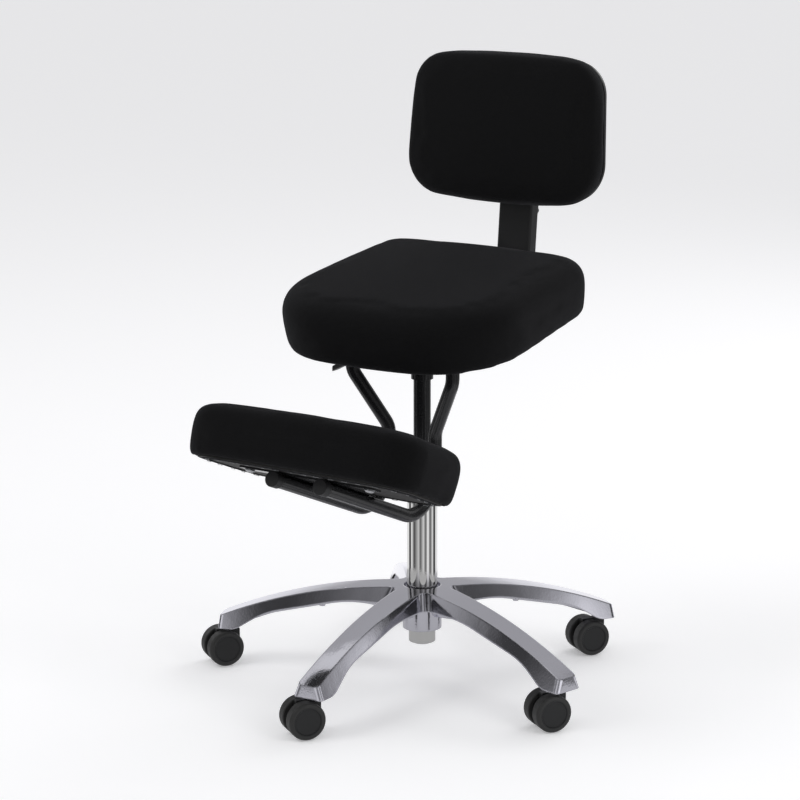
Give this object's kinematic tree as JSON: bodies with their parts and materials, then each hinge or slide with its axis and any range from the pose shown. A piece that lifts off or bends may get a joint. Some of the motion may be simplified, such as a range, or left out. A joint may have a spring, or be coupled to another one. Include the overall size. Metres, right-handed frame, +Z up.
{
  "type": "kneeling chair",
  "caption": "Kneeling chair with padded seat, shin pad and low backrest on a gas lift, with a polished star base on twin wheel castors.",
  "frame": {"origin": "on the floor under the middle of the chair's outline", "axes": "+Z up, -Y ahead of the sitter, +X to the sitter's left"},
  "size_m": [0.692, 0.7122, 1.0045],
  "materials": {
    "polished_aluminium": "mirror polished casting",
    "chrome_tube": "bright chrome",
    "black_steel": "gloss black powder coat",
    "zinc_steel": "bright zinc plate",
    "castor_nylon": "satin black nylon",
    "soft_tread": "charcoal soft tread",
    "black_plastic": "fine grained black plastic",
    "birch_board": "plywood under black dust cover",
    "black_fabric": "close woven black fabric",
    "guide_plastic": "black acetal"
  },
  "bodies": {
    "base": {"star_base": "polished_aluminium", "lift_outer_tube": "chrome_tube", "lift_guide": "guide_plastic", "castor_stems": "zinc_steel"},
    "lift_shaft": {"lift_rod": "zinc_steel", "lift_bearing": "zinc_steel", "lift_clip": "zinc_steel"},
    "seat": {"lift_piston": "black_steel", "seat_mechanism": "black_steel", "seat_board": "birch_board", "seat_cushion": "black_fabric", "seat_bolts": "zinc_steel", "frame_tube_left": "black_steel", "frame_tube_right": "black_steel", "tube_end_caps": "black_plastic", "shin_cross_plate": "black_steel", "shin_board": "birch_board", "shin_cushion": "black_fabric", "shin_screws": "zinc_steel", "back_j_bar": "black_steel", "upright_sleeve": "black_plastic"},
    "lever": {"lever_rod": "zinc_steel", "lever_paddle": "black_plastic"},
    "release_pin": {"release_pin": "zinc_steel"},
    "back": {"back_slide_bar": "black_steel", "back_shell": "black_plastic", "back_cushion": "black_fabric", "back_screws": "zinc_steel"},
    "knob": {"back_knob": "black_plastic"},
    "castor_1": {"castor_1_hood": "castor_nylon", "castor_1_axle": "zinc_steel"},
    "castor_1_wheel_near": {"castor_1_wheel_near": "castor_nylon", "castor_1_tyre_near": "soft_tread"},
    "castor_1_wheel_far": {"castor_1_wheel_far": "castor_nylon", "castor_1_tyre_far": "soft_tread"},
    "castor_2": {"castor_2_hood": "castor_nylon", "castor_2_axle": "zinc_steel"},
    "castor_2_wheel_near": {"castor_2_wheel_near": "castor_nylon", "castor_2_tyre_near": "soft_tread"},
    "castor_2_wheel_far": {"castor_2_wheel_far": "castor_nylon", "castor_2_tyre_far": "soft_tread"},
    "castor_3": {"castor_3_hood": "castor_nylon", "castor_3_axle": "zinc_steel"},
    "castor_3_wheel_near": {"castor_3_wheel_near": "castor_nylon", "castor_3_tyre_near": "soft_tread"},
    "castor_3_wheel_far": {"castor_3_wheel_far": "castor_nylon", "castor_3_tyre_far": "soft_tread"},
    "castor_4": {"castor_4_hood": "castor_nylon", "castor_4_axle": "zinc_steel"},
    "castor_4_wheel_near": {"castor_4_wheel_near": "castor_nylon", "castor_4_tyre_near": "soft_tread"},
    "castor_4_wheel_far": {"castor_4_wheel_far": "castor_nylon", "castor_4_tyre_far": "soft_tread"},
    "castor_5": {"castor_5_hood": "castor_nylon", "castor_5_axle": "zinc_steel"},
    "castor_5_wheel_near": {"castor_5_wheel_near": "castor_nylon", "castor_5_tyre_near": "soft_tread"},
    "castor_5_wheel_far": {"castor_5_wheel_far": "castor_nylon", "castor_5_tyre_far": "soft_tread"}
  },
  "joints": [
    {"name": "castor_1_swivel", "type": "hinge", "parent": "base", "child": "castor_1", "pos_m": [0.02016, -0.30144, 0.0625], "axis": [0, 0, 1], "continuous": true},
    {"name": "castor_1_roll_near", "type": "hinge", "parent": "castor_1", "child": "castor_1_wheel_near", "pos_m": [0.02312, -0.32752, 0.03], "axis": [-0.83, 0.5577, 0], "continuous": true},
    {"name": "castor_1_roll_far", "type": "hinge", "parent": "castor_1", "child": "castor_1_wheel_far", "pos_m": [-0.0051, -0.30856, 0.03], "axis": [-0.83, 0.5577, 0], "continuous": true},
    {"name": "castor_2_swivel", "type": "hinge", "parent": "base", "child": "castor_2", "pos_m": [0.31999, -0.06464, 0.0625], "axis": [0, 0, 1], "continuous": true},
    {"name": "castor_2_roll_near", "type": "hinge", "parent": "castor_2", "child": "castor_2_wheel_near", "pos_m": [0.32295, -0.09073, 0.03], "axis": [-0.83, 0.5577, 0], "continuous": true},
    {"name": "castor_2_roll_far", "type": "hinge", "parent": "castor_2", "child": "castor_2_wheel_far", "pos_m": [0.29473, -0.07176, 0.03], "axis": [-0.83, 0.5577, 0], "continuous": true},
    {"name": "castor_3_swivel", "type": "hinge", "parent": "base", "child": "castor_3", "pos_m": [0.18744, 0.29368, 0.0625], "axis": [0, 0, 1], "continuous": true},
    {"name": "castor_3_roll_near", "type": "hinge", "parent": "castor_3", "child": "castor_3_wheel_near", "pos_m": [0.1904, 0.2676, 0.03], "axis": [-0.83, 0.5577, 0], "continuous": true},
    {"name": "castor_3_roll_far", "type": "hinge", "parent": "castor_3", "child": "castor_3_wheel_far", "pos_m": [0.16218, 0.28657, 0.03], "axis": [-0.83, 0.5577, 0], "continuous": true},
    {"name": "castor_4_swivel", "type": "hinge", "parent": "base", "child": "castor_4", "pos_m": [-0.19431, 0.27835, 0.0625], "axis": [0, 0, 1], "continuous": true},
    {"name": "castor_4_roll_near", "type": "hinge", "parent": "castor_4", "child": "castor_4_wheel_near", "pos_m": [-0.19135, 0.25227, 0.03], "axis": [-0.83, 0.5577, 0], "continuous": true},
    {"name": "castor_4_roll_far", "type": "hinge", "parent": "castor_4", "child": "castor_4_wheel_far", "pos_m": [-0.21957, 0.27123, 0.03], "axis": [-0.83, 0.5577, 0], "continuous": true},
    {"name": "castor_5_swivel", "type": "hinge", "parent": "base", "child": "castor_5", "pos_m": [-0.29769, -0.08945, 0.0625], "axis": [0, 0, 1], "continuous": true},
    {"name": "castor_5_roll_near", "type": "hinge", "parent": "castor_5", "child": "castor_5_wheel_near", "pos_m": [-0.29474, -0.11554, 0.03], "axis": [-0.83, 0.5577, 0], "continuous": true},
    {"name": "castor_5_roll_far", "type": "hinge", "parent": "castor_5", "child": "castor_5_wheel_far", "pos_m": [-0.32296, -0.09657, 0.03], "axis": [-0.83, 0.5577, 0], "continuous": true},
    {"name": "seat_swivel", "type": "hinge", "parent": "base", "child": "lift_shaft", "pos_m": [0.00712, 0.0233, 0.06], "axis": [0, 0, 1], "continuous": true},
    {"name": "seat_lift", "type": "slide", "parent": "lift_shaft", "child": "seat", "axis": [0, 0, 1], "range_m": [-0.12, 0]},
    {"name": "lever_lift", "type": "hinge", "parent": "seat", "child": "lever", "pos_m": [-0.01888, 0.0233, 0.5575], "axis": [0, 1, 0], "range_deg": [0, 8], "stiffness_Nm_per_rad": 2, "springref_deg": -5.73},
    {"name": "release_press", "type": "slide", "parent": "seat", "child": "release_pin", "axis": [0, 0, -1], "range_m": [0, 0.00364], "stiffness_N_per_m": 400, "springref_m": -0.001},
    {"name": "back_height", "type": "slide", "parent": "seat", "child": "back", "axis": [0, 0.0958, 0.9954], "range_m": [-0.03, 0.05]},
    {"name": "knob_turn", "type": "hinge", "parent": "seat", "child": "knob", "pos_m": [0.00712, 0.3223, 0.744], "axis": [0, 0.9954, -0.0958], "continuous": true}
  ],
  "couplings": [
    {"joint": "release_press", "follows": "lever_lift", "m_per_rad": 0.026}
  ]
}
